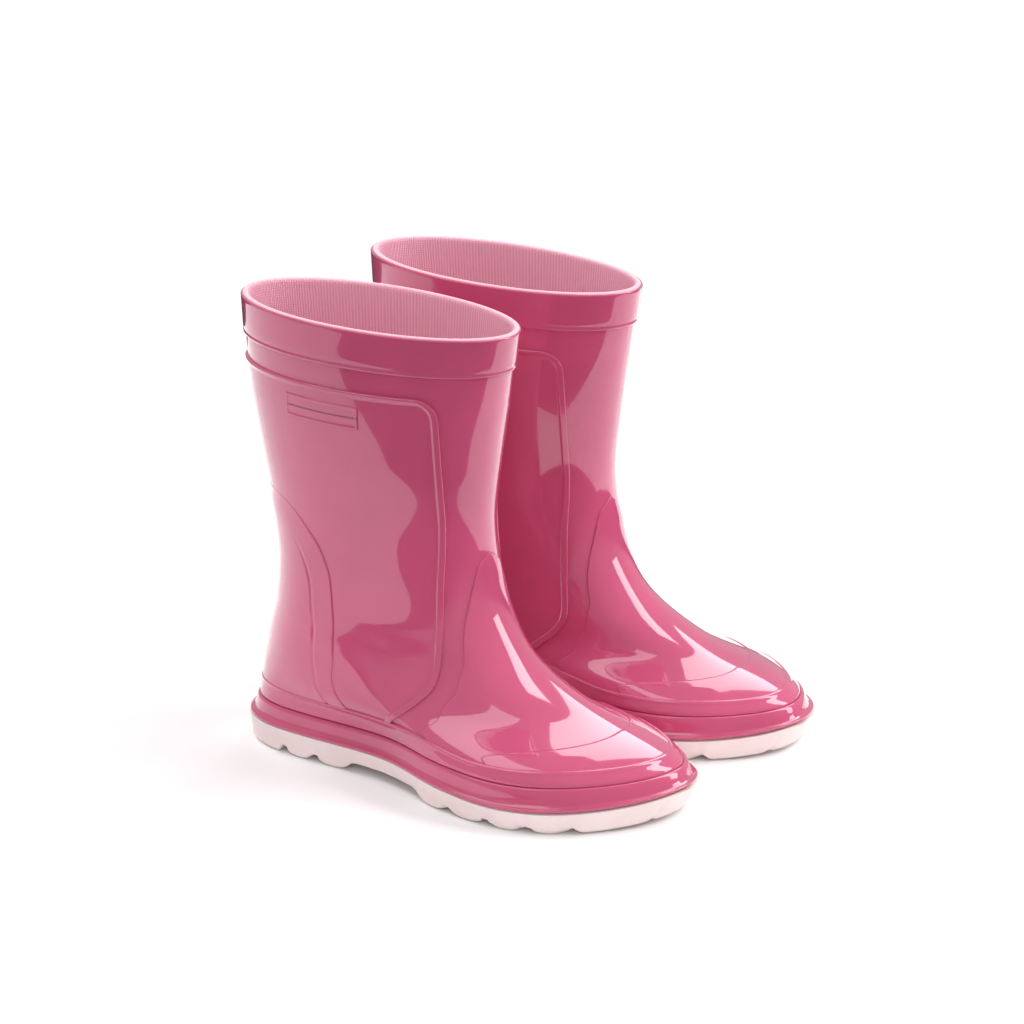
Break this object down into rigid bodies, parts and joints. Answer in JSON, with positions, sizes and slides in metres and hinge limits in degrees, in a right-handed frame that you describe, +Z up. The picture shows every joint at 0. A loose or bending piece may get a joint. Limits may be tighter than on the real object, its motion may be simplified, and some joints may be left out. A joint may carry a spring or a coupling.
{
  "type": "child's rubber rain boots",
  "caption": "Pair of child's calf-high glossy rubber rain boots: layered rubber upper with a knit lining, loose footbed and a pale lugged sole.",
  "frame": {"origin": "on the floor, midway between the two boots and midway between their front and back extremes", "axes": "+X to the toes, +Y to the wearer's left, +Z up"},
  "size_m": [0.1988, 0.186, 0.1781],
  "materials": {
    "pink_rubber": "high-gloss moulded pink PVC rubber",
    "deep_rubber": "high-gloss moulded pink PVC rubber, slightly deeper",
    "pale_sole": "satin pale pink-white rubber",
    "knit_lining": "fine ribbed knit bonded to the rubber",
    "insole_board": "pressed fibre board",
    "footbed_foam": "knit-faced foam"
  },
  "bodies": {
    "right_boot": {"right_outsole": "pale_sole", "right_welt": "deep_rubber", "right_lower_foxing": "deep_rubber", "right_upper_foxing": "pink_rubber", "right_upper": "pink_rubber", "right_vamp": "pink_rubber", "right_toe_cap": "pink_rubber", "right_heel_counter": "pink_rubber", "right_outer_leg_panel": "pink_rubber", "right_inner_leg_panel": "pink_rubber", "right_collar_band": "pink_rubber", "right_lining": "knit_lining", "right_insole_board": "insole_board", "right_name_tablet": "pink_rubber"},
    "right_footbed": {"right_footbed": "footbed_foam"},
    "left_boot": {"left_outsole": "pale_sole", "left_welt": "deep_rubber", "left_lower_foxing": "deep_rubber", "left_upper_foxing": "pink_rubber", "left_upper": "pink_rubber", "left_vamp": "pink_rubber", "left_toe_cap": "pink_rubber", "left_heel_counter": "pink_rubber", "left_outer_leg_panel": "pink_rubber", "left_inner_leg_panel": "pink_rubber", "left_collar_band": "pink_rubber", "left_lining": "knit_lining", "left_insole_board": "insole_board", "left_name_tablet": "pink_rubber"},
    "left_footbed": {"left_footbed": "footbed_foam"}
  },
  "joints": [
    {"name": "left_boot_lift", "type": "slide", "parent": "right_boot", "child": "left_boot", "axis": [0, 0, 1], "range_m": [0, 0.25]},
    {"name": "right_footbed_lift", "type": "hinge", "parent": "right_boot", "child": "right_footbed", "pos_m": [0.0888, -0.043, 0.012], "axis": [0, 1, 0], "range_deg": [0, 6]},
    {"name": "left_footbed_lift", "type": "hinge", "parent": "left_boot", "child": "left_footbed", "pos_m": [0.0888, 0.043, 0.012], "axis": [0, 1, 0], "range_deg": [0, 6]}
  ]
}
